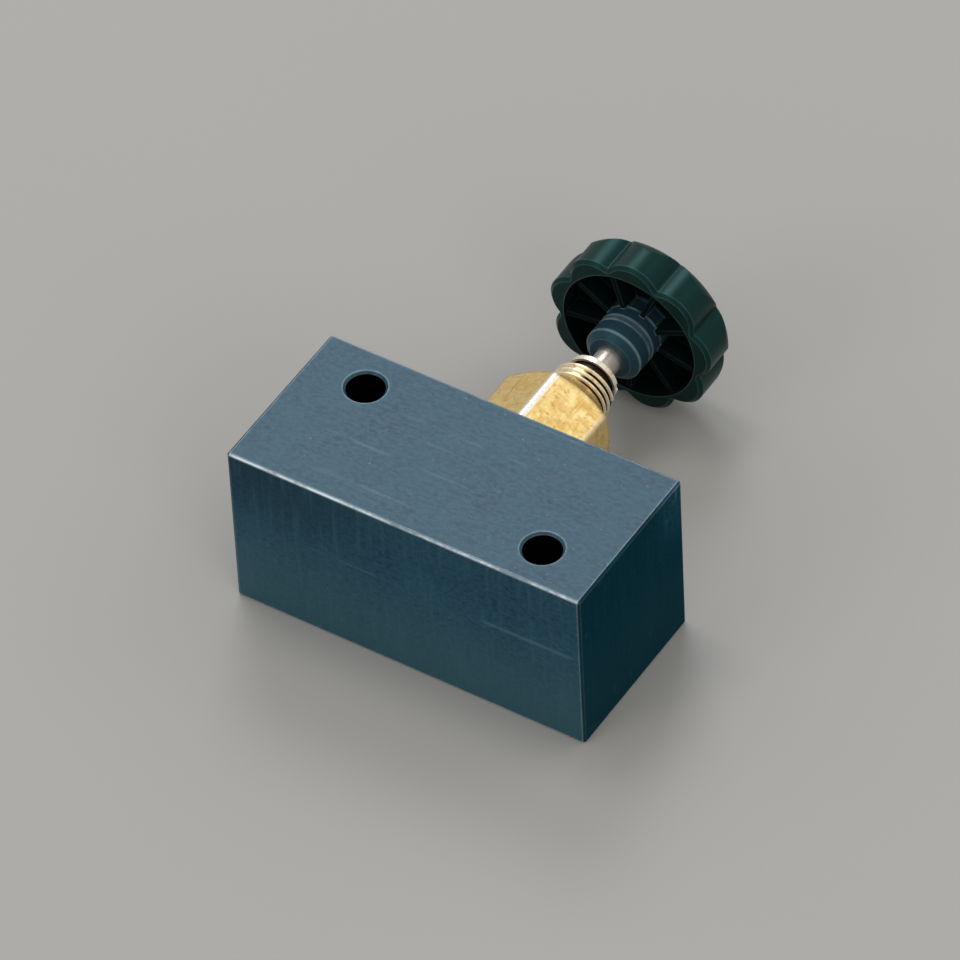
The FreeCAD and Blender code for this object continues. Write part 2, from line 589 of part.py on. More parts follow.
def notch_outline(sketch):
    """The gap between two lobes: two lobe arcs that meet a small round at the notch's bottom."""
    half = "(180 / lobe_count)"
    ring_radius = "(wheel_diameter / 2)"
    lobe_ring = "(wheel_diameter / 2 - lobe_radius)"
    reach = "(lobe_radius + notch_radius)"
    bottom = "(%s * cos(%s) + sqrt(pow(%s; 2) - pow(%s * sin(%s); 2)))" % (
        lobe_ring, half, reach, lobe_ring, half)
    touch_x = "(%s * cos(%s) + (%s - %s * cos(%s)) * lobe_radius / %s)" % (
        lobe_ring, half, bottom, lobe_ring, half, reach)
    touch_y = "(%s * sin(%s) * (1 - lobe_radius / %s))" % (lobe_ring, half, reach)
    tip_x = "%s * cos(%s)" % (ring_radius, half)
    tip_y = "%s * sin(%s)" % (ring_radius, half)
    out_x = "(%s + notch_radius + lobe_radius)" % ring_radius
    spots = [Vector(value(x), value(y), 0) for x, y in (
        (tip_x, "-1 * " + tip_y), (touch_x, "-1 * " + touch_y), (touch_x, touch_y), (tip_x, tip_y))]
    centre_x = value(lobe_ring + " * cos(%s)" % half)
    centre_y = value(lobe_ring + " * sin(%s)" % half)
    centres = [Vector(centre_x, -centre_y, 0), Vector(centre_x, centre_y, 0)]
    lobe = value("lobe_radius")
    low = arc_between(spots[0], spots[1], centres[0], lobe)
    round_middle = Vector(value(bottom + " - notch_radius"), 0, 0)
    high = arc_between(spots[2], spots[3], centres[1], lobe)
    far = [Vector(value(out_x), value(tip_y) * side, 0) for side in (1, -1)]
    sketch.addGeometry([Part.Arc(spots[0], low, spots[1]), Part.Arc(spots[1], round_middle, spots[2]),
                        Part.Arc(spots[2], high, spots[3]), Part.LineSegment(spots[3], far[0]),
                        Part.LineSegment(far[0], far[1]), Part.LineSegment(far[1], spots[0])], False)
    ends = [(0, spots[0], spots[1]), (1, spots[1], spots[2]), (2, spots[2], spots[3])]
    chain = []
    for index, start, end in ends:
        forward = (sketch.getPoint(index, 1) - start).Length < 1e-6
        chain.append((index, 1, 2) if forward else (index, 2, 1))
    chain += [(3, 1, 2), (4, 1, 2), (5, 1, 2)]
    for (index, _, last), (following, first, _) in zip(chain, chain[1:] + chain[:1]):
        sketch.addConstraint(Sketcher.Constraint("Coincident", index, last, following, first))
    places = [(tip_x, "-1 * " + tip_y), (touch_x, "-1 * " + touch_y), (touch_x, touch_y), (tip_x, tip_y),
              (out_x, tip_y), (out_x, "-1 * " + tip_y)]
    for (index, first, _), (x, y) in zip(chain, places):
        hold(sketch, "DistanceX", (index, first), x)
        hold(sketch, "DistanceY", (index, first), y)
    hold(sketch, "Radius", (0,), "lobe_radius")
    hold(sketch, "Radius", (1,), "notch_radius")
    hold(sketch, "Radius", (2,), "lobe_radius")


def arc_between(start, end, centre, radius):
    """The middle point of the shorter arc round the centre between two points."""
    return centre + ((start + end) * 0.5 - centre).normalize() * radius


def pattern(body, name, original):
    """The feature repeated round the axis, once for each lobe."""
    made = body.newObject("PartDesign::PolarPattern", body.Label + "_" + name)
    made.Originals = [original]
    axis = [item for item in body.Origin.OriginFeatures if item.Role == "Z_Axis"][0]
    made.Axis = (axis, [""])
    made.Angle = 360.0
    made.setExpression("Occurrences", bound("lobe_count"))
    body.Tip = made
    doc.recompute()
    return made


def knob_fixing():
    """The washer and socket screw at the bottom of the wheel's pocket, and the cap over them."""
    washer = new_body("knob_washer", HUB_FACE + " + cap_bore_floor")
    turned(washer, "ring", [
        ("screw_thread / 2 + running_fit", "0"), ("washer_diameter / 2", "0"),
        ("washer_diameter / 2", "washer_height"), ("screw_thread / 2 + running_fit", "washer_height")])
    screw = new_body("knob_screw", HUB_FACE + " + cap_bore_floor + washer_height", clocked=True)
    shank = "screw_thread / 2 - close_fit"
    turned(screw, "screw", [
        ("0", "-screw_length"), (shank, "-screw_length"), (shank, "0"), ("screw_head / 2", "0"),
        ("screw_head / 2", "screw_head_height"), ("0", "screw_head_height")])
    socket = new_sketch(screw, "socket_plan", "XY_Plane", "screw_head_height")
    corner = "screw_socket / sqrt(3)"
    outline(socket, [("%s * cos(%d)" % (corner, 60 * step), "%s * sin(%d)" % (corner, 60 * step))
                     for step in range(6)])
    feature(screw, "Pocket", "socket", socket, Length="screw_socket_depth")
    cap = new_body("knob_cap", HUB_FACE + " + wheel_face")
    plug = "cap_bore / 2 - close_fit"
    disc = turned(cap, "cap", [
        ("0", "cap_plug_start - wheel_face"), (plug, "cap_plug_start - wheel_face"), (plug, "0"),
        ("cap_lip / 2", "0"), ("cap_lip / 2", "cap_lip_height"), ("0", "cap_lip_height")])
    dress(cap, "Chamfer", "lip", disc, circle_edge("cap_lip / 2", "cap_lip_height"), "cap_lip_height / 2")


def build():
    """All the pieces, from the block outwards."""
    valve_block()
    ring("seat_seal", "seat_seal_bore / 2", "seat_cavity_bore / 2 - close_fit", "seat_seal_height",
         LOW_END + " + close_fit")
    seat_insert()
    bonnet()
    bonnet_seal()
    packing()
    gland_follower()
    gland_screw()
    needle_tip()
    tip_clip()
    spindle()
    knob()
    knob_insert()
    knob_fixing()


def write():
    """Check every object, then write each sub-part to its own file."""
    doc.recompute()
    for item in doc.Objects:
        if "Invalid" in item.State or "Error" in item.State:
            raise RuntimeError("%s did not build: %s" % (item.Label, item.State))
    os.makedirs("parts", exist_ok=True)
    for body in subparts:
        shape = body.Shape
        if shape.isNull() or not shape.isValid() or len(shape.Solids) != 1:
            raise RuntimeError("%s is not one sound solid" % body.Label)
        shape.exportStep("parts/%s.step" % body.Label)
        print("%-24s %9.1f mm3" % (body.Label, shape.Volume))


build()
write()
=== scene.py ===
import json
import math

import bmesh
import bpy
from mathutils import Euler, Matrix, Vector


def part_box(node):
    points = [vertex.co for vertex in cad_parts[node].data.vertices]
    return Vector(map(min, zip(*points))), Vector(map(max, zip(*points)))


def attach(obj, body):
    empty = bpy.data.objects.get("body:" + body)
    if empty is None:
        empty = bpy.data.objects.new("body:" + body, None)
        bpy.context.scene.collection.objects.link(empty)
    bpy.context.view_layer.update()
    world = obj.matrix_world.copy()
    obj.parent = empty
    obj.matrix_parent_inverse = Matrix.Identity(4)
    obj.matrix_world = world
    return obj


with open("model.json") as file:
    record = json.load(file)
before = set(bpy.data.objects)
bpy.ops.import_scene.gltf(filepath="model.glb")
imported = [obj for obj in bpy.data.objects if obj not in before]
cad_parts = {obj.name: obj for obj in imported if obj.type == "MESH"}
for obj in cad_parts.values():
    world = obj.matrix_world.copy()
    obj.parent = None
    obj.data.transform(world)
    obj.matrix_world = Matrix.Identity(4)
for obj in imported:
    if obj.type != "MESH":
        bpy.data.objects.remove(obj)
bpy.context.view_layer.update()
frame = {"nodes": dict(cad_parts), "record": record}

# The photograph's camera: place in metres, turn in degrees, lens and sensor in millimetres.
# The lens is 0.7 % longer than the one fitted to the block's corners, to meet the photograph's outline.
CAMERA_PLACE = (0.74878, -1.08615, 1.39286)
CAMERA_TURN = (44.18511, 2.22548, 32.06284)
CAMERA_LENS = 346.2
SENSOR_WIDTH = 36.0
CLIP_START = 0.05
CLIP_END = 20.0

# Places read from the frame. Every length below is in metres.
AXIS = (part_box("spindle")[0][2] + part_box("spindle")[1][2]) / 2
BLOCK_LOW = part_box("valve_block")[0]
BLOCK_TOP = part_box("valve_block")[1][2]
NECK_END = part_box("bonnet")[1][1]
PORTS = {mount["name"]: mount for mount in frame["record"]["mounts"] if mount["name"].startswith("port")}
HOLES = [mount for mount in frame["record"]["mounts"] if mount["name"].startswith("mounting_hole_")]
MM_PER_METRE = 1000

# The mounting holes are painted black with shade out to this radius
BORE_SHADE_RADIUS = 0.0042

# Skins of the block's ends, and of its top and front: full to the first depth, gone past the second
END_SKIN = (0.0003, 0.0006)
FACE_SKIN = (0.0001, 0.0006)

# The block's rubbed edges: how strong the line between its front and top is, which is worn and partly a
# painted highlight, how much other worn edges show, and how much of a rubbed place is bare metal
EDGE_GAIN = 1.35
WORN_SHARE = 0.45
RUBBED_METAL = 0.8

# How high the block's cutter lines stand, where its scratches go one deep
LINE_HEIGHT = 0.6

# Heights between which the painted light from the floor on the block's lower part fades out
FLOOR_LIGHT_HEIGHTS = (0.002, 0.034)

# Heights between which painted shade darkens its upper part, and places along X between which that shade
# changes
UPPER_SHADE_HEIGHTS = (0.016, 0.040)
UPPER_SHADE_ALONG = (-0.032, 0.004)
UPPER_SHADE = (0.66, 0.18)

# The block's ends are painted with shade, lighter towards their upper back corner
END_BACK = (0.004, 0.020)
END_UPPER = (0.020, 0.040)
END_SHADE = (0.8, 0.2)

# The handwheel: radii of its hub and hollow, and a plane between the hollow's floor and the outer face
HUB_RADIUS = 0.0068
RECESS_RADIUS = 0.01605
OUTER_END = 0.003
WHEEL_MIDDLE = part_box("knob")[1][1] - OUTER_END
HOLLOW_FADE = 0.0005

# In the handwheel's hollow scuffs are weaker, and the surface rougher, by these shares
HOLLOW_SPARED = 0.48
HOLLOW_ROUGHNESS = 0.6

# Where along Y the hub's two ridges are rubbed and carry a painted highlight: bright to the first distance,
# gone past the second
HUB_LINES = (0.0618, 0.0653, 0.0668, 0.0697)
HUB_LINE_WIDTH = (0.00015, 0.00045)

# Beyond this radius the hexagon's corners carry a painted highlight, those near X = 0 fully and the rest by a
# share
CORNER_HIGHLIGHT_RADIUS = 0.0133
MIDDLE_CORNER_HIGHLIGHT = (0.005, 0.007)
OTHER_CORNER_HIGHLIGHT = 0.25

# A thread's section: half its root and half its crest, in pitches, and how much of its rise is sunk
HALF_ROOT = 0.44
HALF_CREST = 0.12
SUNK_SHARE = 0.3

# Steps in a thread's turn, and the angle in degrees up to which its edges are shaded smooth
STEPS_PER_TURN = 48
SMOOTH_ANGLE = 28

# The neck's thread: the wall's radius, the pitch, the crest's rise, the turns, and how many pitches lie
# between the last turn's middle and the neck's end
NECK_RADIUS = 0.0066
NECK_PITCH = 0.0015
NECK_RISE = 0.00048
NECK_TURNS = 3
NECK_LEAD = 0.70
NECK_START = NECK_END - NECK_PITCH * (NECK_TURNS + NECK_LEAD)

# The ports' threads: the pitch, the crest's rise, how many pitches lie between the port's mouth and the
# first turn's middle, and by how many turns they fall short of the port's length
PORT_PITCH = 0.001337
PORT_RISE = 0.0007
PORT_LEAD = 0.6
PORT_SPARE = 1

# Painted shade on the neck and the gland screw lies within these radii of the axis, and past this place along
# it.
# On the lit side it thins to a share.
NECK_ROOT = 0.0067
GLAND_ROOT = 0.0052
ROOT_SHADE_START = NECK_START - NECK_PITCH * HALF_ROOT
ROOT_SHADE_END_FADE = 0.0002
ROOT_SHADE_SIDE_FADE = 0.002
ROOT_SHADE_LEAST = 0.12

# Colours are linear red, green and blue
STEEL = {
    "dark": (0.002, 0.028, 0.052),
    "clouds": (0.011, 0.060, 0.094),
    "mottle": (0.024, 0.090, 0.134),
    "lines": (0.019, 0.082, 0.122),
    # Painted light from the floor
    "lower": (0.044, 0.100, 0.112),
    # Painted shade
    "upper": (0.0, 0.018, 0.030),
    "brushed": (0.042, 0.106, 0.134),
    "specks": (0.16, 0.22, 0.26),
    "scratches": (0.16, 0.24, 0.28),
    # Wear, and a painted highlight on the block's front-top edge
    "wear_and_highlight": (0.64, 0.70, 0.72),
    # Painted shade on the block's ends
    "ends": (0.002, 0.025, 0.035),
    # Black paint standing in for the shade in the mounting holes' bores
    "bore_shade": (0.0006, 0.0008, 0.0008),
}
BRASS = {
    "marks": (0.76, 0.43, 0.11),
    "spots": (0.60, 0.29, 0.06),
    # Wear, and a painted highlight on the hexagon's corners
    "wear_and_highlight": (1.0, 0.95, 0.84),
    # Painted shade in the thread roots
    "root_shade": (0.020, 0.008, 0.002),
}
PLASTIC = {
    "dark": (0.001, 0.012, 0.010),
    "haze": (0.003, 0.021, 0.018),
    # The hub: painted paler and bluer than the wheel, partly as painted light
    "hub": (0.018, 0.044, 0.062),
    # Wear, and a painted highlight on the hub's ridges
    "hub_wear_highlights": (0.17, 0.24, 0.28),
    # Painted shade in the wheel's hollow
    "hollow": (0.0002, 0.0004, 0.0004),
    # Scuffs, partly painted highlights on the wheel's edges
    "scuffed_and_highlit": (0.15, 0.21, 0.23),
}
FLOOR = {
    "dark": (0.415, 0.396, 0.371),
    "light": (0.428, 0.409, 0.383),
}

# Each light's name, place, side, power in watts and colour
LIGHTS = [
    ("key", (-1.10, 0.47, 3.20), 0.9, 17.0, (1.0, 0.985, 0.96)),
    ("back", (-1.50, 2.18, 2.78), 1.3, 36.0, (0.83, 0.90, 1.0)),
    ("front", (-1.00, -2.50, 1.50), 1.2, 12.0, (0.97, 0.98, 1.0)),
    ("shaded_side", (2.40, -1.60, 1.90), 1.4, 14.0, (1.0, 0.99, 0.96)),
    ("brass_panel", (1.65, 2.15, 2.67), 1.6, 5.0, (1.0, 0.98, 0.94)),
]
LIGHT_AIM = (0, 0.02, 0.02)
WORLD_COLOUR = (0.95, 0.98, 1.0, 1.0)
WORLD_STRENGTH = 0.61
FLOOR_SIZE = 30.0

# Samples of the Bevel nodes that find worn edges and that round edges off
WEAR_SAMPLES = 6
ROUNDING_SAMPLES = 8

# A colour Mix node's sockets by index, because its number and colour sockets share their names
MIX_FACTOR = 0
MIX_FIRST = 6
MIX_SECOND = 7
MIX_RESULT = 2

# Noise with no stretch, and how far one seed moves a noise along each axis
EVEN = (1.0, 1.0, 1.0)
SEED_STEP = (1.0, 1.7, 0.6)

# The edge of a near_line mask, and how much bend of the normal counts as a worn edge
LINE_FADE = 0.0001
EDGE_BEND = (0.01, 0.12)

# The shared node groups by name, filled in by main
GROUPS = {}


def clear_selection():
    """Nothing selected, so that an operator acts on new geometry alone."""
    bpy.ops.object.select_all(action="DESELECT")


def finish_piece(piece, name, material, body):
    """Names a piece, gives it its finish and lets it ride on its body."""
    piece.name = name
    piece.data.name = name
    piece.data.materials.clear()
    piece.data.materials.append(material)
    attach(piece, body)


def new_group(name, inputs, outputs):
    """A node group. Inputs have their default numbers, or None for a vector; outputs are single numbers."""
    group = bpy.data.node_groups.new(name, "ShaderNodeTree")
    for socket, default in inputs.items():
        kind = "NodeSocketVector" if default is None else "NodeSocketFloat"
        made = group.interface.new_socket(socket, in_out="INPUT", socket_type=kind)
        if default is not None:
            made.default_value = default
    for socket in outputs:
        group.interface.new_socket(socket, in_out="OUTPUT", socket_type="NodeSocketFloat")
    given = group.nodes.new("NodeGroupInput")
    result = group.nodes.new("NodeGroupOutput")
    return group, given.outputs, result.inputs


def math_node(tree, operation, first, second=None, clamp=False):
    """One Math node fed by sockets or numbers."""
    node = tree.nodes.new("ShaderNodeMath")
    node.operation = operation
    node.use_clamp = clamp
    for socket, source in zip(node.inputs, (first, second)):
        if source is None:
            continue
        if isinstance(source, (int, float)):
            socket.default_value = source
        else:
            tree.links.new(source, socket)
    return node.outputs[0]


def plus(tree, first, second, clamp=False):
    """One value plus another."""
    return math_node(tree, "ADD", first, second, clamp)


def minus(tree, first, second, clamp=False):
    """One value less another."""
    return math_node(tree, "SUBTRACT", first, second, clamp)


def times(tree, first, second, clamp=False):
    """One value times another."""
    return math_node(tree, "MULTIPLY", first, second, clamp)


def larger(tree, first, second):
    """The larger of two values."""
    return math_node(tree, "MAXIMUM", first, second)


def absolute(tree, source):
    """A value without its sign."""
    return math_node(tree, "ABSOLUTE", source)


def raised(tree, mask, share, least):
    """A value that rises from its least by a share of the mask."""
    return plus(tree, times(tree, mask, share), least)


def vector_node(tree, operation, first, second=None):
    """The outputs of one Vector Math node fed by sockets."""
    node = tree.nodes.new("ShaderNodeVectorMath")
    node.operation = operation
    tree.links.new(first, node.inputs[0])
    if second is not None:
        tree.links.new(second, node.inputs[1])
    return node.outputs


def ramp(tree, source, low, high, low_value=0.0, high_value=1.0):
    """A smooth step from one value to another as the source goes from low to high."""
    node = tree.nodes.new("ShaderNodeMapRange")
    node.interpolation_type = "SMOOTHSTEP"
    for index, number in enumerate((low, high, low_value, high_value), start=1):
        node.inputs[index].default_value = number
    tree.links.new(source, node.inputs[0])
    return node.outputs[0]


def fade(tree, source, low, high):
    """One up to low, nought from high on."""
    return ramp(tree, source, low, high, 1.0, 0.0)


def mix_colour(tree, factor, first, second):
    """One colour Mix node; a tuple is a plain colour, and anything else a socket."""
    node = tree.nodes.new("ShaderNodeMix")
    node.data_type = "RGBA"
    node.clamp_factor = True
    for index, source in ((MIX_FACTOR, factor), (MIX_FIRST, first), (MIX_SECOND, second)):
        if isinstance(source, tuple):
            node.inputs[index].default_value = (*source, 1.0)
        else:
            tree.links.new(source, node.inputs[index])
    return node.outputs[MIX_RESULT]


def paint(tree, colour, layers):
    """Layers over a colour, from the bottom up: each has a mask, how strong it is, and its own colour."""
    for mask, strength, layer in layers:
        colour = mix_colour(tree, times(tree, mask, strength), colour, layer)
    return colour


def shaded(colour, share):
    """A colour, darkened to a share."""
    return tuple(part * share for part in colour)


def stretched_noise(tree, scale, stretch=EVEN, detail=4.0, roughness=0.6, seed=0.0):
    """Noise on object coordinates, stretched per axis; scale may be a socket."""
    place = tree.nodes.new("ShaderNodeTexCoord")
    mapping = tree.nodes.new("ShaderNodeMapping")
    mapping.inputs["Scale"].default_value = stretch
    mapping.inputs["Location"].default_value = tuple(seed * step for step in SEED_STEP)
    noise = tree.nodes.new("ShaderNodeTexNoise")
    noise.inputs["Detail"].default_value = detail
    noise.inputs["Roughness"].default_value = roughness
    if isinstance(scale, (int, float)):
        noise.inputs["Scale"].default_value = scale
    else:
        tree.links.new(scale, noise.inputs["Scale"])
    tree.links.new(place.outputs["Object"], mapping.inputs["Vector"])
    tree.links.new(mapping.outputs[0], noise.inputs["Vector"])
    return noise.outputs["Fac"]


def noise_mask(tree, scale, low=0.3, high=0.7, **noise):
    """Stretched noise as a mask: nought up to low, one from high on."""
    return ramp(tree, stretched_noise(tree, scale, **noise), low, high)


def edge_wear_group():
    """Where a surface is near a sharp edge, broken up by noise."""
    inputs = {"Radius": 0.0004, "Break Up": 0.5, "Patch Scale": 300.0}
    group, given, result = new_group("edge_wear", inputs, ["Worn"])
    bevel = group.nodes.new("ShaderNodeBevel")
    bevel.samples = WEAR_SAMPLES
    group.links.new(given["Radius"], bevel.inputs["Radius"])
    geometry = group.nodes.new("ShaderNodeNewGeometry")
    alike = vector_node(group, "DOT_PRODUCT", bevel.outputs["Normal"], geometry.outputs["Normal"])
    near = ramp(group, minus(group, 1.0, alike["Value"], clamp=True), *EDGE_BEND)
    patches = noise_mask(group, given["Patch Scale"], low=0.35, high=0.65, detail=3.0)
    spared = times(group, given["Break Up"], minus(group, 1.0, patches))
    worn = times(group, near, minus(group, 1.0, spared), clamp=True)
    group.links.new(worn, result["Worn"])
    return group


def near_line_group():
    """One inside a cylinder round a line, nought outside it; the line's own direction is masked out."""
    inputs = {"Centre": None, "Across": None, "Radius": 0.005}
    group, given, result = new_group("near_line", inputs, ["Inside"])
    place = group.nodes.new("ShaderNodeTexCoord")
    away = vector_node(group, "SUBTRACT", place.outputs["Object"], given["Centre"])
    flat = vector_node(group, "MULTIPLY", away["Vector"], given["Across"])
    length = vector_node(group, "LENGTH", flat["Vector"])
    beyond = minus(group, length["Value"], given["Radius"])
    group.links.new(fade(group, beyond, 0.0, LINE_FADE), result["Inside"])
    return group


def machined_group():
    """Fine cutter lines along X, cloudy blackening, stray scratches, specks and a fine mottle."""
    outputs = ["Lines", "Clouds", "Scratches", "Specks", "Mottle"]
    group, given, result = new_group("machined_face", {"Line Scale": 900.0, "Cloud Scale": 55.0}, outputs)
    scratch = noise_mask(group, 420.0, low=0.64, high=0.72, stretch=(0.02, 1.0, 1.0), detail=1.0, seed=5.0)
    places = noise_mask(group, 60.0, low=0.46, high=0.62, detail=2.0, seed=8.0)
    masks = [
        noise_mask(group, given["Line Scale"], stretch=(0.035, 1.0, 1.0), detail=3.0),
        noise_mask(group, given["Cloud Scale"], detail=6.0, roughness=0.7, seed=2.0),
        times(group, scratch, places),
        noise_mask(group, 700.0, low=0.70, high=0.76, detail=2.0, seed=11.0),
        noise_mask(group, 1100.0, low=0.34, high=0.66, stretch=(0.6, 1.0, 1.0), detail=5.0, roughness=0.75,
                   seed=14.0),
    ]
    for name, mask in zip(outputs, masks):
        group.links.new(mask, result[name])
    return group


def turned_group():
    """Fine turning rings round the valve's axis and a soft mottle."""
    inputs = {"Ring Scale": 2600.0, "Mottle Scale": 420.0}
    group, given, result = new_group("turned_face", inputs, ["Rings", "Mottle"])
    rings = noise_mask(group, given["Ring Scale"], stretch=(0.06, 1.0, 0.06), detail=2.0)
    mottle = noise_mask(group, given["Mottle Scale"], seed=3.0)
    group.links.new(rings, result["Rings"])
    group.links.new(mottle, result["Mottle"])
    return group


def use_group(tree, name, **values):
    """The outputs of one of the shared groups, placed in a tree with its own values."""
    node = tree.nodes.new("ShaderNodeGroup")
    node.node_tree = GROUPS[name]
    for key, number in values.items():
        node.inputs[key.replace("_", " ").title()].default_value = number
    return node.outputs


def near_axis(tree, radius):
    """One within a radius of the valve's axis, nought beyond it."""
    return use_group(tree, "near_line", radius=radius, centre=(0, 0, AXIS), across=(1, 0, 1))["Inside"]


def place_along(tree, axis):
    """How far along X, Y or Z a point of the piece lies."""
    place = tree.nodes.new("ShaderNodeTexCoord")
    split = tree.nodes.new("ShaderNodeSeparateXYZ")
    tree.links.new(place.outputs["Object"], split.inputs[0])
    return split.outputs[axis]


def new_material(name, **constants):
    """A material with a Principled shader and its plain values."""
    material = bpy.data.materials.new(name)
    material.use_nodes = True
    shader = material.node_tree.nodes["Principled BSDF"]
    for key, number in constants.items():
        shader.inputs[key.replace("_", " ")].default_value = number
    return material, material.node_tree, shader


def feed(tree, shader, **sources):
    """Links sockets to the shader's inputs by name."""
    for key, source in sources.items():
        tree.links.new(source, shader.inputs[key.replace("_", " ")])


def bump(tree, shader, height, strength, distance, rounding=None):
    """A Bump node from a height socket to the shader, over edges that look rounded if asked."""
    node = tree.nodes.new("ShaderNodeBump")
    if rounding is not None:
        edge = tree.nodes.new("ShaderNodeBevel")
        edge.samples = ROUNDING_SAMPLES
        edge.inputs["Radius"].default_value = rounding
        tree.links.new(edge.outputs[0], node.inputs["Normal"])
    node.inputs["Strength"].default_value = strength
    node.inputs["Distance"].default_value = distance
    tree.links.new(height, node.inputs["Height"])
    tree.links.new(node.outputs[0], shader.inputs["Normal"])


def blued_steel():
    """The block: blackened machined steel, blue-grey where it shines, bright along its front edge with wear
    and a painted highlight; painted shade on its ends, upper sides and bores, and painted light from the
    floor low down.
    """
    material, tree, shader = new_material("blued_steel", IOR=1.0, Coat_IOR=1.33, Coat_Roughness=0.38)
    face = use_group(tree, "machined_face", line_scale=900.0, cloud_scale=70.0)
    wear = use_group(tree, "edge_wear", radius=0.0008, break_up=0.30, patch_scale=260.0)
    along, across, up = (place_along(tree, axis) for axis in "XYZ")
    # The ends, the top and the front by how deep a point lies under them, and all that isn't top
    ends = fade(tree, minus(tree, -BLOCK_LOW[0], absolute(tree, along)), *END_SKIN)
    top = fade(tree, minus(tree, BLOCK_TOP, up), *FACE_SKIN)
    front = fade(tree, minus(tree, across, BLOCK_LOW[1]), *FACE_SKIN)
    below = minus(tree, 1.0, top)
    # The sides: painted light from the floor low down, painted shade high up and to the left, brushed upright
    lower = fade(tree, up, *FLOOR_LIGHT_HEIGHTS)
    upper = times(tree, ramp(tree, up, *UPPER_SHADE_HEIGHTS), ramp(tree, along, *UPPER_SHADE_ALONG, *UPPER_SHADE))
    brushed = noise_mask(tree, 700.0, low=0.48, high=0.68, stretch=(1.0, 1.0, 0.08), detail=3.0, seed=17.0)
    # Bare metal on worn edges and, unevenly, along the edge between the front and the top, where it is also a
    # painted highlight
    worn_highlight_line = times(tree, times(tree, front, top), EDGE_GAIN, clamp=True)
    edge = times(tree, worn_highlight_line, ramp(tree, face["Clouds"], low=0.1, high=0.7, low_value=0.35))
    wear_and_highlight = larger(tree, times(tree, wear["Worn"], WORN_SHARE), edge)
    # Painted shade on the ends, lighter towards their upper back corner
    lit_corner = times(tree, ramp(tree, across, *END_BACK), ramp(tree, up, *END_UPPER))
    painted_end_shade = times(tree, ends, ramp(tree, lit_corner, 0.0, 1.0, *END_SHADE))
    # Black paint in the mounting holes' bores stands in for the shade inside them
    bore_shade = 0.0
    for hole in HOLES:
        bore = use_group(tree, "near_line", radius=BORE_SHADE_RADIUS, centre=hole["pos_m"], across=(1, 1, 0))
        bore_shade = plus(tree, bore["Inside"], bore_shade, clamp=True)
    painted = paint(tree, mix_colour(tree, face["Clouds"], STEEL["dark"], STEEL["clouds"]), [
        (face["Mottle"], 0.90, STEEL["mottle"]),
        (face["Lines"], 0.35, STEEL["lines"]),
        # Painted light from the floor
        (lower, 0.55, STEEL["lower"]),
        # Painted shade high up and to the left
        (times(tree, upper, below), 1.0, STEEL["upper"]),
        (times(tree, brushed, below), 0.30, STEEL["brushed"]),
        (face["Specks"], 0.42, STEEL["specks"]),
        (face["Scratches"], 0.22, STEEL["scratches"]),
        # Wear, and a painted highlight on the front-top edge
        (wear_and_highlight, 1.0, STEEL["wear_and_highlight"]),
        # Painted shade on the ends
        (painted_end_shade, 1.0, STEEL["ends"]),
        # Black paint standing in for the shade in the bores
        (bore_shade, 1.0, STEEL["bore_shade"]),
    ])
    metal = times(tree, wear_and_highlight, minus(tree, RUBBED_METAL, bore_shade, clamp=True))
    gloss = minus(tree, raised(tree, top, share=0.5, least=0.5), ends, clamp=True)
    rough = raised(tree, face["Clouds"], share=0.05, least=0.32)
    feed(tree, shader, Base_Color=painted, Metallic=metal, Coat_Weight=gloss, Roughness=rough)
    height = minus(tree, times(tree, face["Lines"], LINE_HEIGHT), face["Scratches"])
    bump(tree, shader, height, strength=0.25, distance=0.00003)
    return material


def brass(name, light, deep, root_radius, dull=0.26, metal=1.0, shade_from=0.0002, rounding=None):
    """Machined brass with fine tool marks, brown spots, worn corners with a painted highlight, and painted
    shade in its thread roots.
    """
    material, tree, shader = new_material(name, Metallic=metal)
    face = use_group(tree, "turned_face", ring_scale=2200.0, mottle_scale=480.0)
    wear = use_group(tree, "edge_wear", radius=0.0003, break_up=0.3, patch_scale=500.0)
    marks = noise_mask(tree, 1500.0, low=0.52, high=0.70, stretch=(1.0, 0.10, 1.0), detail=3.0, seed=6.0)
    crossed = noise_mask(tree, 1300.0, low=0.54, high=0.72, stretch=(0.12, 1.0, 0.12), detail=3.0, seed=9.0)
    spots = noise_mask(tree, 900.0, low=0.57, high=0.67, detail=3.0, seed=12.0)
    across = place_along(tree, "X")
    # A painted highlight on the hexagon's corners, strongest on the corner near X = 0
    highlight_share = ramp(tree, absolute(tree, across), *MIDDLE_CORNER_HIGHLIGHT, 1.0, OTHER_CORNER_HIGHLIGHT)
    lit_corner = times(tree, minus(tree, 1.0, near_axis(tree, CORNER_HIGHLIGHT_RADIUS)), highlight_share)
    # Painted shade in the thread roots, thinner on the lit side
    threaded = ramp(tree, place_along(tree, "Y"), ROOT_SHADE_START - ROOT_SHADE_END_FADE, ROOT_SHADE_START)
    shaded_side = ramp(tree, across, shade_from, shade_from + ROOT_SHADE_SIDE_FADE, low_value=ROOT_SHADE_LEAST)
    root_shade = times(tree, near_axis(tree, root_radius), times(tree, shaded_side, threaded))
    painted = paint(tree, mix_colour(tree, face["Mottle"], light, deep), [
        (larger(tree, marks, crossed), 0.7, BRASS["marks"]),
        (spots, 0.6, BRASS["spots"]),
        # Wear, and a painted highlight on the hexagon's corners
        (larger(tree, wear["Worn"], lit_corner), 0.85, BRASS["wear_and_highlight"]),
        # Painted shade in the thread roots
        (root_shade, 1.0, BRASS["root_shade"]),
    ])
    rough = raised(tree, face["Mottle"], share=0.14, least=dull)
    feed(tree, shader, Base_Color=painted, Roughness=rough)
    bump(tree, shader, face["Rings"], strength=0.2, distance=0.00002, rounding=rounding)
    return material


